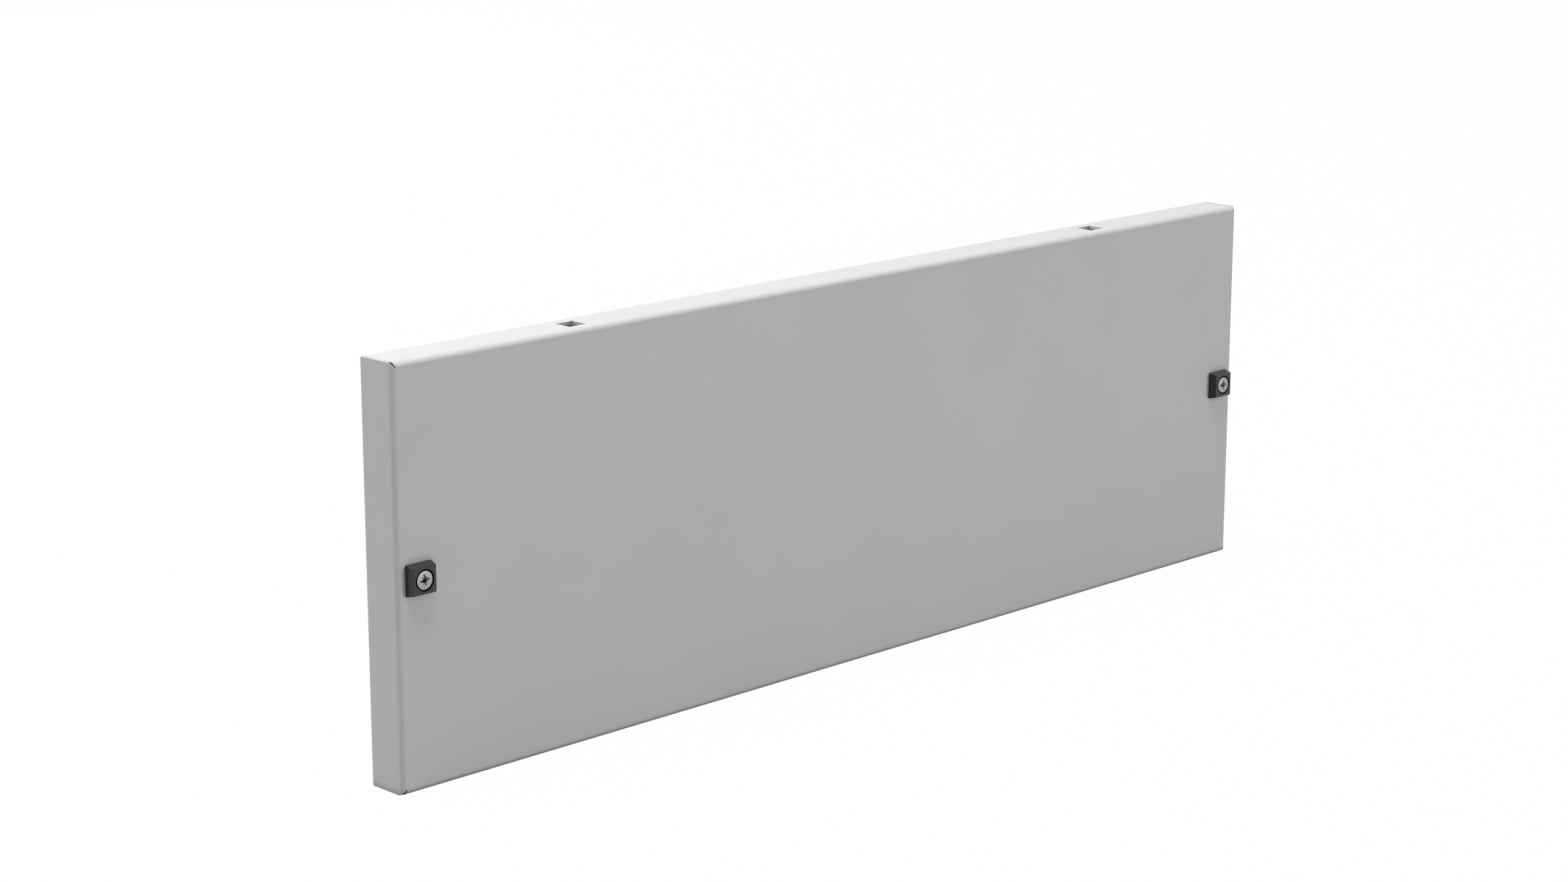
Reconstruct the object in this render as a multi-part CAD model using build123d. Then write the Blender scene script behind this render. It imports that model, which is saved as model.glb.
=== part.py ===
# Blanking panel for a 600 mm wide rack bay: a folded sheet tray, closed by a
# captive screw in a plastic bush at each end.
# Frame: +X along the panel, +Z up, and the front face looks towards -Y. The origin
# is on the mounting plane at the back, midway between the two screws.

from build123d import *
import os
from math import atan, cos, degrees, radians, sin, sqrt

# Folded tray
panel_width = 596.5
panel_height = 200.0
panel_depth = 23.5
sheet_thickness = 1.5
bend_inner_radius = 1.0
top_lip_height = 15.0
side_lip_width = 24.0
seam_gap = 0.3
lip_mitre_gap = 0.8
front_relief_radius = 0.35
rear_relief_radius = 1.0

# Square holes in the top and bottom flanges
flange_hole_side = 10.0
flange_hole_spacing = 370.0
flange_hole_setback = 10.8

# Openings for the fixings
fixing_inset = 12.25
bush_hole_side = 10.0
bush_hole_corner = 0.5
lip_hole_diameter = 6.0

# Plastic bush
bush_side = 14.8
bush_draft_per_side = 0.95
bush_head_height = 4.6
bush_corner_radius = 0.4
bush_edge_chamfer = 0.15
bush_neck_clearance = 0.1
bush_tail_length = 7.0
counterbore_diameter = 10.4
counterbore_floor = 1.5
seat_clearance = 0.1
bore_clearance = 0.05
barb_reach = 1.0
barb_width = 7.0
barb_land = 0.7
barb_sheet_clearance = 0.1
tail_slot_width = 2.2
tail_slot_start = 2.4
tail_end_taper = 0.5

# Screw with a domed cheese head
screw_diameter = 5.0
guide_diameter = 5.5
screw_length = 37.0
screw_head_diameter = 8.8
screw_head_stand = 0.2
screw_crown_height = 0.25
screw_edge_radius = 0.3
screw_tip_chamfer = 0.6
relief_diameter = 4.4
left_screw_turn = 8.4
right_screw_turn = 0.0

# Cross recess with its four fine marks between the wings
recess_span = 5.5
recess_bottom_span = 2.4
recess_depth = 2.7
recess_wing_width = 0.9
recess_core_diameter = 2.7
recess_core_bottom_diameter = 1.6
mark_span = 4.6
mark_bottom_span = 3.4
mark_depth = 0.4
mark_width = 0.2

# Retaining clip in its groove on the shank
clip_outer_diameter = 9.0
clip_pocket_diameter = 6.2
clip_groove_diameter = 4.0
clip_thickness = 0.8
clip_clearance = 0.05
clip_tab_width = 1.8
clip_mouth_width = 4.2
clip_tab_droop = 15.0
captive_travel = 12.5
travel_end_clearance = 0.1

# Worked out from the dimensions above
half_width = panel_width / 2
half_height = panel_height / 2
bend_radius = bend_inner_radius + sheet_thickness
flange_end = half_width - sheet_thickness - seam_gap
fixing_x = half_width - fixing_inset
screw_radius = screw_diameter / 2
guide_radius = guide_diameter / 2
head_radius = screw_head_diameter / 2
crown_top = bush_head_height + screw_head_stand
crown_radius = (head_radius ** 2 + screw_crown_height ** 2) / (2 * screw_crown_height)
clip_front = -bush_tail_length - travel_end_clearance - captive_travel

# How far a cutter reaches past what it cuts
overlap = 1.0
far = 4 * panel_depth


def block(x_range, y_range, z_range):
    """Box between two values along each axis."""
    lows = (x_range[0], y_range[0], z_range[0])
    highs = (x_range[1], y_range[1], z_range[1])
    size = [high - low for low, high in zip(lows, highs)]
    middle = [(high + low) / 2 for low, high in zip(lows, highs)]
    return Pos(*middle) * Box(*size)


def half_space(point, normal):
    """Large block on the side of a plane that its normal points to."""
    return Plane(origin=point, z_dir=normal) * Pos(0, 0, far / 2) * Box(far, far, far)


def bend(start, first_side, second_side, length):
    """Quarter round bend of the sheet, extruded from start across both sides."""
    ring = Circle(bend_radius) - Circle(bend_inner_radius)
    quarter = ring & Pos(bend_radius / 2, bend_radius / 2) * Rectangle(bend_radius, bend_radius)
    along = Vector(*first_side).cross(Vector(*second_side))
    return extrude(Plane(origin=start, x_dir=first_side, z_dir=along) * quarter, length)


def long_bend(y_centre, y_side):
    """Bend along the top edge, its end cut back to the seam with the side flange."""
    centre = (0, y_centre, half_height - bend_radius)
    if y_side > 0:
        raw = bend(centre, (0, y_side, 0), (0, 0, 1), flange_end)
    else:
        raw = bend(centre, (0, 0, 1), (0, y_side, 0), flange_end)
    corner = (half_width - bend_radius, y_centre + y_side * bend_radius, half_height - bend_radius)
    slope = (flange_end - corner[0]) / bend_radius / 2
    return raw - half_space(corner, (1, y_side * slope, -slope))


def upright_bend(y_centre, y_side):
    """Bend along the side edge, its top cut on the slant to clear the long bend."""
    centre = (half_width - bend_radius, y_centre, 0)
    if y_side > 0:
        raw = bend(centre, (1, 0, 0), (0, y_side, 0), half_height)
    else:
        raw = bend(centre, (0, y_side, 0), (1, 0, 0), half_height)
    corner = (centre[0], y_centre + y_side * bend_radius, half_height - bend_radius)
    return raw - half_space(corner, (-1, y_side, 2))


def lip(outline):
    """Return lip of the tray, from its outline in X and Z, on the mounting plane."""
    points = list(outline) + [outline[0]]
    face = Plane.XZ * make_face(Polyline(*points))
    return extrude(face, sheet_thickness)


def tray_quarter():
    """Quarter of the tray with X and Z above zero."""
    front = -panel_depth
    bend_x = half_width - bend_radius
    bend_z = half_height - bend_radius
    front_bend_y = front + bend_radius
    rear_bend_y = -bend_radius
    flat = (front_bend_y, rear_bend_y)
    gap = lip_mitre_gap / sqrt(2)
    solids = [
        block((0, bend_x), (front, front + sheet_thickness), (0, bend_z)),
        block((0, flange_end), flat, (half_height - sheet_thickness, half_height)),
        block((half_width - sheet_thickness, half_width), flat, (0, half_height)),
        long_bend(front_bend_y, -1),
        long_bend(rear_bend_y, 1),
        upright_bend(front_bend_y, -1),
        upright_bend(rear_bend_y, 1),
        lip([(0, bend_z), (bend_x - gap, bend_z),
             (half_width - top_lip_height - gap, half_height - top_lip_height),
             (0, half_height - top_lip_height)]),
        lip([(bend_x, 0), (bend_x, bend_z - gap),
             (half_width - side_lip_width, half_height - side_lip_width - gap),
             (half_width - side_lip_width, 0)]),
    ]
    quarter = solids[0].fuse(*solids[1:])
    offset = front_relief_radius / sqrt(2)
    across = Rot(90, 0, 0)
    front_relief = Pos(bend_x + offset, front, bend_z + offset) * across
    rear_relief = Pos(bend_x, 0, bend_z) * across
    quarter -= front_relief * Cylinder(front_relief_radius, 2 * bend_radius)
    quarter -= rear_relief * Cylinder(rear_relief_radius, 2 * bend_radius)
    return quarter


def fixing_plane(side):
    """Plane on the front face at a fixing: x across, y up and z out of the panel."""
    return Plane(origin=(side * fixing_x, -panel_depth, 0), x_dir=(1, 0, 0), z_dir=(0, -1, 0))


def flange_hole(x):
    """Cutter for a square hole through the top and bottom flanges."""
    y = -panel_depth + flange_hole_setback
    return Pos(x, y, 0) * Box(flange_hole_side, flange_hole_side, panel_height + 2 * overlap)


def make_panel():
    """Folded tray with its flange holes and the openings for both fixings."""
    quarter = tray_quarter()
    upper = quarter + mirror(quarter, Plane.YZ)
    panel = upper + mirror(upper, Plane.XY)
    for side in (-1, 1):
        panel -= flange_hole(side * flange_hole_spacing / 2)
        front_face = fixing_plane(side)
        square = RectangleRounded(bush_hole_side, bush_hole_side, bush_hole_corner)
        panel -= front_face * Pos(0, 0, overlap) * extrude(square, -sheet_thickness - 2 * overlap)
        lip_hole = Cylinder(lip_hole_diameter / 2, sheet_thickness + 2 * overlap)
        panel -= front_face * Pos(0, 0, -panel_depth + sheet_thickness / 2) * lip_hole
    return panel


def turned(profile):
    """Solid of revolution about z from a face drawn in radius and height."""
    return revolve(Plane.XZ * profile, Axis.Z)


def bush_bore():
    """Cutter for the counterbore and the bore of a bush."""
    top = bush_head_height + overlap
    end = -bush_tail_length - overlap
    bore_radius = guide_radius + bore_clearance
    counterbore_radius = counterbore_diameter / 2
    return turned(make_face(Polyline(
        (0, top), (counterbore_radius, top), (counterbore_radius, counterbore_floor),
        (bore_radius, counterbore_floor), (bore_radius, end), (0, end), (0, top))))


def barb(side, neck_half):
    """Snap barb that holds the bush behind the sheet."""
    ledge = -sheet_thickness - barb_sheet_clearance
    tip = neck_half - tail_end_taper
    outline = Polyline(
        (side * tip, ledge), (side * (neck_half + barb_reach), ledge),
        (side * (neck_half + barb_reach), ledge - barb_land),
        (side * tip, -bush_tail_length), (side * tip, ledge))
    return extrude(Plane.XZ * make_face(outline), barb_width / 2, both=True)


def make_bush():
    """Square bush with a drafted head, a split tail and two snap barbs."""
    draft = degrees(atan(bush_draft_per_side / bush_head_height))
    head = extrude(Rectangle(bush_side, bush_side), bush_head_height, taper=draft)
    slanted = [e for e in head.edges() if e.bounding_box().size.Z > bush_head_height / 2]
    head = fillet(slanted, bush_corner_radius)
    head = chamfer(head.faces().sort_by(Axis.Z)[-1].edges(), bush_edge_chamfer)
    neck_half = bush_hole_side / 2 - bush_neck_clearance
    through = RectangleRounded(2 * neck_half, 2 * neck_half, bush_hole_corner)
    neck = extrude(through, -sheet_thickness - barb_sheet_clearance - barb_land)
    tail_side = 2 * (neck_half - tail_end_taper)
    tail = extrude(Rectangle(tail_side, tail_side), -bush_tail_length)
    bush = head + neck + tail + barb(-1, neck_half) + barb(1, neck_half)
    slot_length = bush_tail_length - tail_slot_start + overlap
    slot = Box(tail_slot_width, bush_side, slot_length)
    bush -= Pos(0, 0, -tail_slot_start - slot_length / 2) * slot
    return bush - bush_bore()


def recess_slab(span, bottom_span, depth, width, angle):
    """Tapered slab of the cross recess; its span is taken where it meets the crown."""
    drop = crown_radius - sqrt(crown_radius ** 2 - (span / 2) ** 2)
    mouth = crown_top - drop
    bottom = mouth - depth
    flare = (span - bottom_span) / 2 / depth * overlap
    outline = Polyline(
        (-span / 2 - flare, mouth + overlap), (span / 2 + flare, mouth + overlap),
        (bottom_span / 2, bottom), (-bottom_span / 2, bottom),
        (-span / 2 - flare, mouth + overlap))
    return Rot(0, 0, angle) * extrude(Plane.XZ * make_face(outline), width / 2, both=True)


def cross_recess():
    """Cutters for the cross recess in the screw's head."""
    wings = [recess_slab(recess_span, recess_bottom_span, recess_depth, recess_wing_width, a)
             for a in (0, 90)]
    marks = [recess_slab(mark_span, mark_bottom_span, mark_depth, mark_width, a)
             for a in (45, 135)]
    core_radius = recess_core_diameter / 2
    bottom_radius = recess_core_bottom_diameter / 2
    flare = (core_radius - bottom_radius) / recess_depth * overlap
    core = Cone(bottom_radius, core_radius + flare, recess_depth + overlap)
    core = Pos(0, 0, crown_top + (overlap - recess_depth) / 2) * core
    return [core] + wings + marks


def make_screw(turn):
    """Screw with a domed cheese head, turned by some degrees about its axis.

    A guide shank runs in the bush, then come the clip's groove, a relief that
    clears the lip and the thread that stands out of the mounting plane.
    """
    rim = crown_top - screw_crown_height
    bearing = counterbore_floor + seat_clearance
    tip = bearing - screw_length
    relief_radius = relief_diameter / 2
    thread_full = -panel_depth
    relief_end = thread_full + screw_radius - relief_radius
    groove_top = clip_front + clip_clearance
    groove_bottom = clip_front - clip_thickness - clip_clearance
    groove_radius = clip_groove_diameter / 2
    half_angle = atan(head_radius / (crown_radius - screw_crown_height)) / 2
    middle = (crown_radius * sin(half_angle),
              crown_top - crown_radius * (1 - cos(half_angle)))
    outline = Polyline(
        (head_radius, rim), (head_radius, bearing), (guide_radius, bearing),
        (guide_radius, groove_top), (groove_radius, groove_top),
        (groove_radius, groove_bottom), (relief_radius, groove_bottom),
        (relief_radius, relief_end), (screw_radius, thread_full),
        (screw_radius, tip + screw_tip_chamfer), (screw_radius - screw_tip_chamfer, tip),
        (0, tip), (0, crown_top))
    profile = make_face(outline + ThreePointArc((0, crown_top), middle, (head_radius, rim)))
    corner = profile.vertices().sort_by_distance((head_radius, rim))[0]
    screw = turned(fillet(corner, screw_edge_radius)) - cross_recess()
    return Rot(0, 0, turn) * screw


def make_clip():
    """Open retaining clip whose three tabs sit in the screw's groove."""
    outer_radius = clip_outer_diameter / 2
    pocket_radius = clip_pocket_diameter / 2
    bore_radius = clip_groove_diameter / 2 + clip_clearance
    body = Circle(outer_radius) - Circle(pocket_radius)
    tab_length = (outer_radius + pocket_radius) / 2
    for angle in (90, -clip_tab_droop, 180 + clip_tab_droop):
        place = Pos(tab_length / 2 * cos(radians(angle)), tab_length / 2 * sin(radians(angle)))
        body += place * Rot(0, 0, angle) * Rectangle(tab_length, clip_tab_width)
    body -= Circle(bore_radius)
    mouth_length = 2 * outer_radius
    mouth_top = -bore_radius * sin(radians(clip_tab_droop)) - clip_tab_width / 2
    body -= Pos(0, mouth_top - mouth_length / 2) * Rectangle(clip_mouth_width, mouth_length)
    return Pos(0, 0, clip_front) * extrude(body, -clip_thickness)


def write(name, shape):
    """Write one piece to its own file."""
    export_step(shape, os.path.join("parts", name + ".step"))


os.makedirs("parts", exist_ok=True)
write("panel", make_panel())
for side, name, turn in ((-1, "left", left_screw_turn), (1, "right", right_screw_turn)):
    place = fixing_plane(side)
    write(name + "_bush", place * make_bush())
    write(name + "_screw", place * make_screw(turn))
    write(name + "_retaining_clip", place * make_clip())
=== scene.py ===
import math

import bmesh
import bpy
from mathutils import Matrix, Vector


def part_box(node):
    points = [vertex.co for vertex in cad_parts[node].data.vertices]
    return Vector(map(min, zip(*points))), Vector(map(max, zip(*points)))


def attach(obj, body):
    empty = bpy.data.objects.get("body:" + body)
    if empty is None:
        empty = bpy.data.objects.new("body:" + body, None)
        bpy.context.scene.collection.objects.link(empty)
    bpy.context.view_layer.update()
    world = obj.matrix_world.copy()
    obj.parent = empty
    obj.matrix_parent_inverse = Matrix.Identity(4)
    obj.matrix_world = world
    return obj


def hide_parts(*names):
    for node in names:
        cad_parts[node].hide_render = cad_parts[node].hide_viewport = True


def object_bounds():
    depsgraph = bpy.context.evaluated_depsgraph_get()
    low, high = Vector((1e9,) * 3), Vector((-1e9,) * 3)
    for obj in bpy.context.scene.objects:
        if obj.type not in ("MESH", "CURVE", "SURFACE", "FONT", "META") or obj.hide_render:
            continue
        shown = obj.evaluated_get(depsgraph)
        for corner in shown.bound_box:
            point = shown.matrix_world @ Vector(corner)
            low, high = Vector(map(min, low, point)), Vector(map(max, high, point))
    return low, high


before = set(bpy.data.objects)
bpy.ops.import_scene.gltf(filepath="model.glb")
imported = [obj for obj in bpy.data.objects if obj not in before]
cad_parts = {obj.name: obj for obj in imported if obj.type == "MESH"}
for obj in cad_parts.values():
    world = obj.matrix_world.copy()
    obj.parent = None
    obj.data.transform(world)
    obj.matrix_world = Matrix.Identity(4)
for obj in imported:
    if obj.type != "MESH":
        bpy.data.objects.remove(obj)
cad_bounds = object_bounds()

# Camera at the photograph's viewing angle, in metres in the panel's own frame
CAMERA_PLACE = Vector((-1.16346, -1.14758, 0.40415))
CAMERA_AIM = Vector((-0.05701, -0.02340, 0.02451))
CAMERA_ROLL = math.radians(0.028)
CAMERA_NEAR = 0.01
SENSOR_WIDTH_MM = 36.0
LENS_MM = 75.671

# Floor and room
FLOOR_SIZE = 8.0
FLOOR_GAP = 0.0001
FLOOR_BOUNCE = 0.30
FLOOR_SHADOW_SHARE = 0.012
WORLD_DIFFUSE_LEVEL = 0.02

# Most of a noise texture's values lie between these two
NOISE_LOW = 0.3
NOISE_HIGH = 0.7

# Metric thread on the free end of each screw, which starts just inside the mounting plane
THREAD_PITCH = 0.0008
THREAD_DEPTH = 0.00049
THREAD_RADIUS = 0.0025
THREAD_START_Y = -0.0003
THREAD_RUNOUT = 0.0008
THREAD_TIP_CHAMFER = 0.0006
THREAD_ROWS_PER_PITCH = 12
THREAD_COLUMNS = 64

# Flanks of the thread, in depths: where they would meet, and their fall per pitch
FLANK_PEAK = 1.25
FLANK_SLOPE = 2.7

# Meshes of the solids
WELD_DISTANCE = 1e-6
SMOOTH_ANGLE = math.radians(32)


def grey(level):
    """Neutral colour."""
    return (level, level, level, 1.0)


def shader_nodes(name):
    """New node material, with its tree and its Principled shader."""
    material = bpy.data.materials.new(name)
    material.use_nodes = True
    tree = material.node_tree
    return material, tree, tree.nodes["Principled BSDF"]


def noise(tree, scale, detail=2.0):
    """Noise texture in the object's own metres."""
    place = tree.nodes.new("ShaderNodeTexCoord")
    texture = tree.nodes.new("ShaderNodeTexNoise")
    texture.inputs["Scale"].default_value = scale
    texture.inputs["Detail"].default_value = detail
    tree.links.new(place.outputs["Object"], texture.inputs["Vector"])
    return texture.outputs["Fac"]


def ramp(tree, value, low, high):
    """Colour that goes from low to high with a noise value."""
    node = tree.nodes.new("ShaderNodeValToRGB")
    first, last = node.color_ramp.elements
    first.position = NOISE_LOW
    first.color = low
    last.position = NOISE_HIGH
    last.color = high
    tree.links.new(value, node.inputs["Fac"])
    return node.outputs["Color"]


def map_range(tree, value, start, end, low=0.0, high=1.0):
    """Number that goes from low to high as a value goes from start to end."""
    node = tree.nodes.new("ShaderNodeMapRange")
    node.inputs["From Min"].default_value = start
    node.inputs["From Max"].default_value = end
    node.inputs["To Min"].default_value = low
    node.inputs["To Max"].default_value = high
    tree.links.new(value, node.inputs["Value"])
    return node.outputs["Result"]


def set_roughness(tree, shader, value, low, high):
    """Roughness that goes from low to high with a noise value."""
    roughness = map_range(tree, value, NOISE_LOW, NOISE_HIGH, low, high)
    tree.links.new(roughness, shader.inputs["Roughness"])


def set_bump(tree, shader, height, depth, strength):
    """Fine relief of the surface, depth in metres."""
    node = tree.nodes.new("ShaderNodeBump")
    node.inputs["Strength"].default_value = strength
    node.inputs["Distance"].default_value = depth
    tree.links.new(height, node.inputs["Height"])
    tree.links.new(node.outputs["Normal"], shader.inputs["Normal"])


def painted_shade(tree, colour, reach, least, closed, clear):
    """Colour with painted shade: it falls to its least share as gaps within reach go from
    clear to closed, standing in for the shade in seams, recesses and under parts.
    """
    cavity = tree.nodes.new("ShaderNodeAmbientOcclusion")
    cavity.samples = 8
    cavity.inputs["Distance"].default_value = reach
    share = map_range(tree, cavity.outputs["AO"], closed, clear, low=least)
    mix = tree.nodes.new("ShaderNodeVectorMath")
    mix.operation = "SCALE"
    tree.links.new(colour, mix.inputs[0])
    tree.links.new(share, mix.inputs["Scale"])
    return mix.outputs["Vector"]


def facing(tree, axis, start, end):
    """0 to 1 as a surface's normal goes from start to end along one axis."""
    surface = tree.nodes.new("ShaderNodeNewGeometry")
    split = tree.nodes.new("ShaderNodeSeparateXYZ")
    tree.links.new(surface.outputs["Normal"], split.inputs["Vector"])
    return map_range(tree, split.outputs[axis], start, end)


def blend(tree, share, first, second):
    """Colour between two others."""
    mix = tree.nodes.new("ShaderNodeMix")
    mix.data_type = "RGBA"
    tree.links.new(share, mix.inputs["Factor"])
    tree.links.new(first, mix.inputs["A"])
    tree.links.new(second, mix.inputs["B"])
    return mix.outputs["Result"]


def powder_coat():
    """Light grey powder coat with a fine orange peel, with painted shade in the seams, in
    the corners and around the parts that stand on it.
    """
    material, tree, shader = shader_nodes("powder_coat_look")
    shader.inputs["Specular IOR Level"].default_value = 0.25
    cloud = noise(tree, scale=14.0, detail=3.0)
    colour = ramp(tree, cloud, (0.604, 0.612, 0.606, 1.0), (0.622, 0.630, 0.624, 1.0))
    # Painted shade: the coat darkens in seams, corners and round the bushes, standing in
    # for their shade.
    shade_painted_colour = painted_shade(tree, colour, reach=0.004, least=0.25, closed=0.10, clear=0.97)
    tree.links.new(shade_painted_colour, shader.inputs["Base Color"])
    peel = noise(tree, scale=850.0)
    set_roughness(tree, shader, peel, low=0.50, high=0.60)
    set_bump(tree, shader, peel, depth=0.00003, strength=0.35)
    return material


def black_plastic():
    """Black moulded plastic: plain front, finely mottled sides, and a paler mottle on top
    that is painted light, as if lit from above.
    """
    material, tree, shader = shader_nodes("black_plastic_look")
    shader.inputs["Specular IOR Level"].default_value = 0.45
    plain = ramp(tree, noise(tree, scale=500.0), grey(0.003), grey(0.006))
    grain = noise(tree, scale=3300.0, detail=1.0)
    dark = ramp(tree, grain, grey(0.001), grey(0.016))
    # Painted light: faces that look upward get a paler mottle, standing in for the light
    # falling from above.
    painted_top_light = ramp(tree, grain, grey(0.012), grey(0.055))
    sides = blend(tree, facing(tree, "Z", start=0.50, end=0.90), dark, painted_top_light)
    colour = blend(tree, facing(tree, "Y", start=-0.99, end=-0.90), plain, sides)
    tree.links.new(colour, shader.inputs["Base Color"])
    set_roughness(tree, shader, grain, low=0.30, high=0.40)
    set_bump(tree, shader, noise(tree, scale=2600.0), depth=0.00002, strength=0.4)
    return material


def metal(name, low, high, rough_low, rough_high):
    """Bare or plated metal with a slight cloudiness, with painted shade in its recesses."""
    material, tree, shader = shader_nodes(name)
    shader.inputs["Metallic"].default_value = 1.0
    cloud = noise(tree, scale=700.0, detail=3.0)
    colour = ramp(tree, cloud, low, high)
    # Painted shade: the colour darkens in the screw's cross recess and other hollows,
    # standing in for their shade.
    shade_painted_colour = painted_shade(tree, colour, reach=0.0025, least=0.30, closed=0.35, clear=0.95)
    tree.links.new(shade_painted_colour, shader.inputs["Base Color"])
    set_roughness(tree, shader, cloud, rough_low, rough_high)
    set_bump(tree, shader, noise(tree, scale=3500.0), depth=0.00001, strength=0.3)
    return material


def zinc_plate():
    """Dull zinc of the screws."""
    low, high = (0.25, 0.25, 0.245, 1.0), (0.28, 0.28, 0.275, 1.0)
    return metal("zinc_plated_look", low, high, rough_low=0.50, rough_high=0.60)


def spring_steel():
    """Dark phosphated steel of the clips."""
    low, high = (0.10, 0.10, 0.11, 1.0), (0.16, 0.16, 0.17, 1.0)
    return metal("spring_steel_look", low, high, rough_low=0.30, rough_high=0.45)


def background_share(tree):
    """1 for rays that should see the plain white surroundings, else 0."""
    path = tree.nodes.new("ShaderNodeLightPath")
    total = path.outputs["Is Camera Ray"]
    for kind in ("Is Glossy Ray", "Is Transmission Ray"):
        add = tree.nodes.new("ShaderNodeMath")
        add.operation = "MAXIMUM"
        tree.links.new(total, add.inputs[0])
        tree.links.new(path.outputs[kind], add.inputs[1])
        total = add.outputs["Value"]
    return total


def mixed(tree, share, first, second):
    """Shader between two others; the share is a number or a node's output."""
    mix = tree.nodes.new("ShaderNodeMixShader")
    if isinstance(share, float):
        mix.inputs["Fac"].default_value = share
    else:
        tree.links.new(share, mix.inputs["Fac"])
    tree.links.new(first, mix.inputs[1])
    tree.links.new(second, mix.inputs[2])
    return mix.outputs["Shader"]


def floor_material():
    """Pale floor that is seen white and keeps a trace of the shadow."""
    material, tree, shader = shader_nodes("pale_floor")
    shader.inputs["Base Color"].default_value = grey(FLOOR_BOUNCE)
    shader.inputs["Roughness"].default_value = 0.9
    white = tree.nodes.new("ShaderNodeEmission")
    white.inputs["Strength"].default_value = 1.0
    lit = shader.outputs["BSDF"]
    seen = mixed(tree, FLOOR_SHADOW_SHARE, white.outputs["Emission"], lit)
    surface = mixed(tree, background_share(tree), lit, seen)
    tree.links.new(surface, tree.nodes["Material Output"].inputs["Surface"])
    return material


def paint(obj, material):
    """Give every material slot of an object the same look."""
    if not obj.material_slots:
        obj.data.materials.append(material)
    for slot in obj.material_slots:
        slot.material = material


def thread_radius(y, angle, tip_y):
    """Radius of the thread's surface at a place along and about its axis."""
    phase = (y / THREAD_PITCH - angle / (2 * math.pi)) % 1.0
    wave = min(1.0, max(0.0, FLANK_PEAK - abs(phase - 0.5) * FLANK_SLOPE))
    start = min(1.0, (y - THREAD_START_Y) / THREAD_RUNOUT)
    crest = THREAD_RADIUS - THREAD_DEPTH * (1.0 - start)
    root = THREAD_RADIUS - THREAD_DEPTH
    radius = root + (crest - root) * wave
    limit = THREAD_RADIUS - THREAD_TIP_CHAMFER + (tip_y - y)
    return min(radius, limit)


def add_thread(mesh, x, z, tip_y):
    """Add the threaded end to an open bmesh, from the cut to the tip."""
    step = THREAD_PITCH / THREAD_ROWS_PER_PITCH
    rows = math.ceil((tip_y - THREAD_START_Y) / step)
    rings = []
    for row in range(rows + 1):
        y = THREAD_START_Y + (tip_y - THREAD_START_Y) * row / rows
        ring = []
        for column in range(THREAD_COLUMNS):
            angle = 2 * math.pi * column / THREAD_COLUMNS
            radius = thread_radius(y, angle, tip_y)
            place = (x + radius * math.cos(angle), y, z + radius * math.sin(angle))
            ring.append(mesh.verts.new(place))
        rings.append(ring)
    for near, far in zip(rings, rings[1:]):
        for i in range(THREAD_COLUMNS):
            j = (i + 1) % THREAD_COLUMNS
            mesh.faces.new((near[i], near[j], far[j], far[i]))
    mesh.faces.new(rings[-1])
    mesh.faces.new(list(reversed(rings[0])))


def shade(obj):
    """Smooth shading, with the edges sharper than the limit left crisp."""
    obj.data.shade_smooth()
    obj.data.set_sharp_from_angle(angle=SMOOTH_ANGLE)


def dressed_screw(side, material):
    """Screw with its real thread: the solid's head and shank, then a modelled thread."""
    node = side + "_screw"
    low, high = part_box(node)
    mesh = bmesh.new()
    mesh.from_mesh(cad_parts[node].data)
    bmesh.ops.remove_doubles(mesh, verts=mesh.verts, dist=WELD_DISTANCE)
    everything = list(mesh.verts) + list(mesh.edges) + list(mesh.faces)
    cut = bmesh.ops.bisect_plane(mesh, geom=everything, clear_outer=True,
                                 plane_co=(0, THREAD_START_Y, 0), plane_no=(0, 1, 0))
    rim = [item for item in cut["geom_cut"] if isinstance(item, bmesh.types.BMEdge)]
    bmesh.ops.holes_fill(mesh, edges=rim)
    add_thread(mesh, (low.x + high.x) / 2, (low.z + high.z) / 2, high.y)
    bmesh.ops.recalc_face_normals(mesh, faces=mesh.faces)
    data = bpy.data.meshes.new(side + "_threaded_screw")
    mesh.to_mesh(data)
    mesh.free()
    screw = bpy.data.objects.new(data.name, data)
    bpy.context.scene.collection.objects.link(screw)
    shade(screw)
    paint(screw, material)
    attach(screw, side + "_fastener")
    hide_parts(node)


def dress():
    """Give every solid its look, and both screws their threads."""
    plastic = black_plastic()
    zinc = zinc_plate()
    spring = spring_steel()
    paint(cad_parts["panel"], powder_coat())
    for side in ("left", "right"):
        paint(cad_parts[side + "_bush"], plastic)
        paint(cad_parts[side + "_retaining_clip"], spring)
        paint(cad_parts[side + "_screw"], zinc)
        dressed_screw(side, zinc)


def add_floor():
    """Pale floor under the panel."""
    z = cad_bounds[0].z - FLOOR_GAP
    bpy.ops.mesh.primitive_plane_add(size=FLOOR_SIZE, location=(0, 0, z))
    floor = bpy.context.object
    floor.name = "floor"
    paint(floor, floor_material())


def white_background(tree, strength):
    """White world light of some strength."""
    node = tree.nodes.new("ShaderNodeBackground")
    node.inputs["Color"].default_value = grey(1.0)
    node.inputs["Strength"].default_value = strength
    return node.outputs["Background"]


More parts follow.
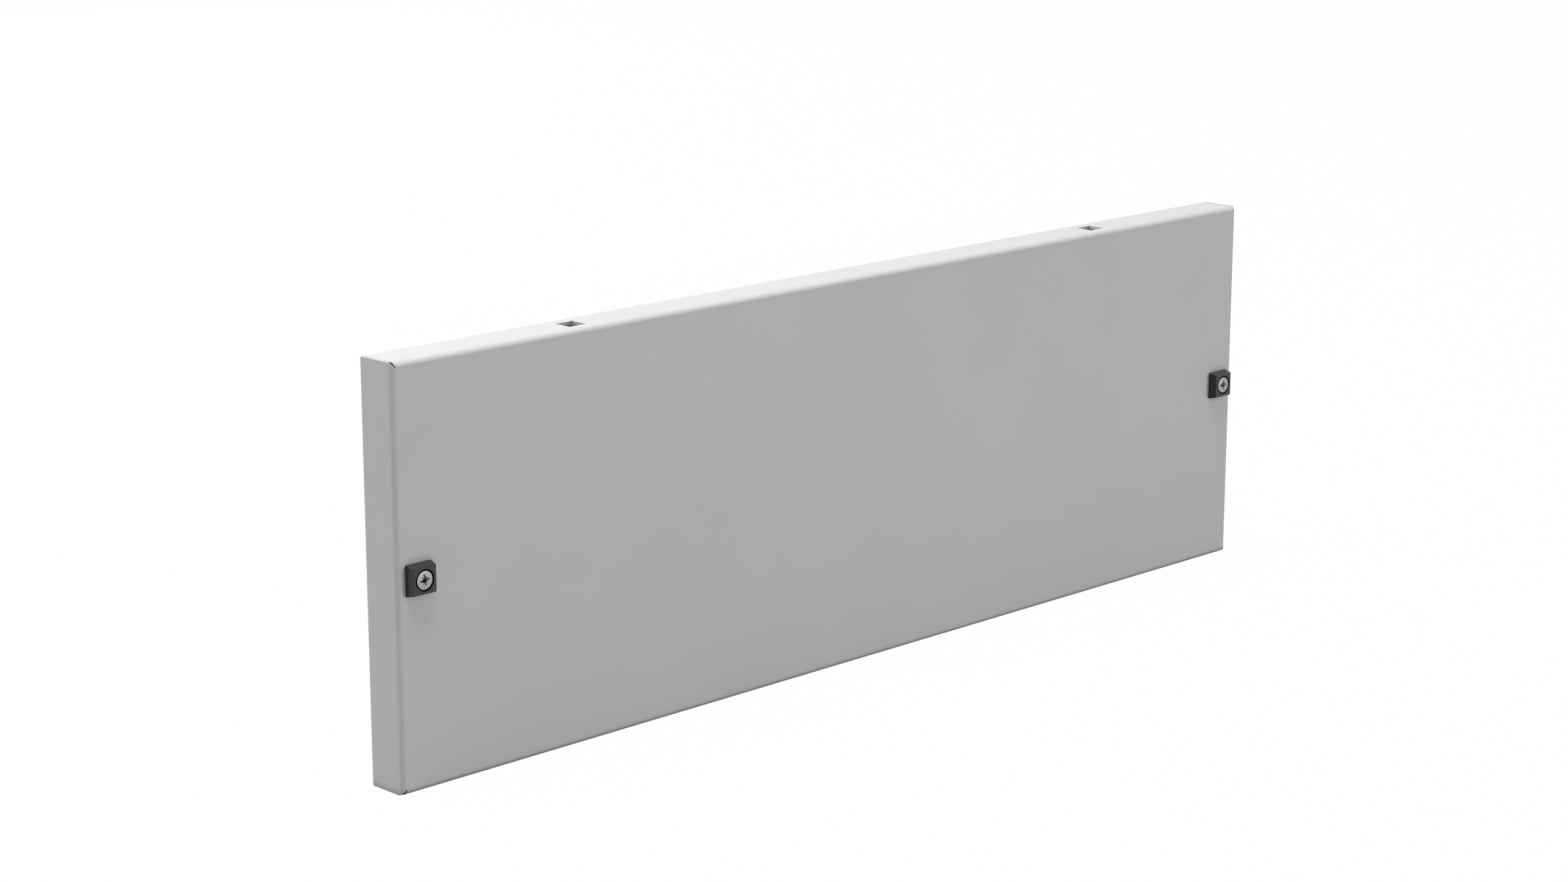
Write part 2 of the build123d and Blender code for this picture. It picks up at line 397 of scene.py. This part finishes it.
def add_world():
    """White surroundings for the eye and a calm grey light for matt surfaces."""
    world = bpy.data.worlds.new("studio")
    bpy.context.scene.world = world
    world.use_nodes = True
    tree = world.node_tree
    lit = white_background(tree, WORLD_DIFFUSE_LEVEL)
    seen = white_background(tree, 1.0)
    surface = mixed(tree, background_share(tree), lit, seen)
    tree.links.new(surface, tree.nodes["World Output"].inputs["Surface"])


def softbox(name, place, aim, width, height, power):
    """Rectangular studio light, seen by surfaces and not by the camera."""
    data = bpy.data.lights.new(name, "AREA")
    data.shape = "RECTANGLE"
    data.size = width
    data.size_y = height
    data.energy = power
    light = bpy.data.objects.new(name, data)
    light.location = place
    light.rotation_euler = (Vector(aim) - Vector(place)).to_track_quat("-Z", "Y").to_euler()
    light.visible_camera = False
    bpy.context.scene.collection.objects.link(light)


def add_lights():
    """Large overhead softbox, and one each for the front, the left end and the back."""
    middle = (0.0, 0.0, 0.0)
    left_end = (-0.3, 0.0, 0.0)
    softbox("overhead", (-0.5, 0.1, 2.4), middle, width=2.0, height=1.6, power=75.0)
    softbox("front", (3.0, -6.0, 0.8), middle, width=3.0, height=2.0, power=186.0)
    softbox("left_end", (-2.4, 1.1, 0.6), left_end, width=1.4, height=1.2, power=18.2)
    softbox("rear", (0.8, 3.0, 0.25), middle, width=1.6, height=1.2, power=55.0)


def add_camera():
    """Camera at the photograph's viewing angle."""
    data = bpy.data.cameras.new("camera")
    data.sensor_width = SENSOR_WIDTH_MM
    data.lens = LENS_MM
    data.clip_start = CAMERA_NEAR
    camera = bpy.data.objects.new("camera", data)
    turn = (CAMERA_AIM - CAMERA_PLACE).to_track_quat("-Z", "Y").to_matrix().to_4x4()
    roll = Matrix.Rotation(CAMERA_ROLL, 4, "Z")
    camera.matrix_world = Matrix.Translation(CAMERA_PLACE) @ turn @ roll
    bpy.context.scene.collection.objects.link(camera)
    bpy.context.scene.camera = camera


dress()
add_floor()
add_world()
add_lights()
add_camera()
bpy.context.scene.view_settings.view_transform = "Standard"
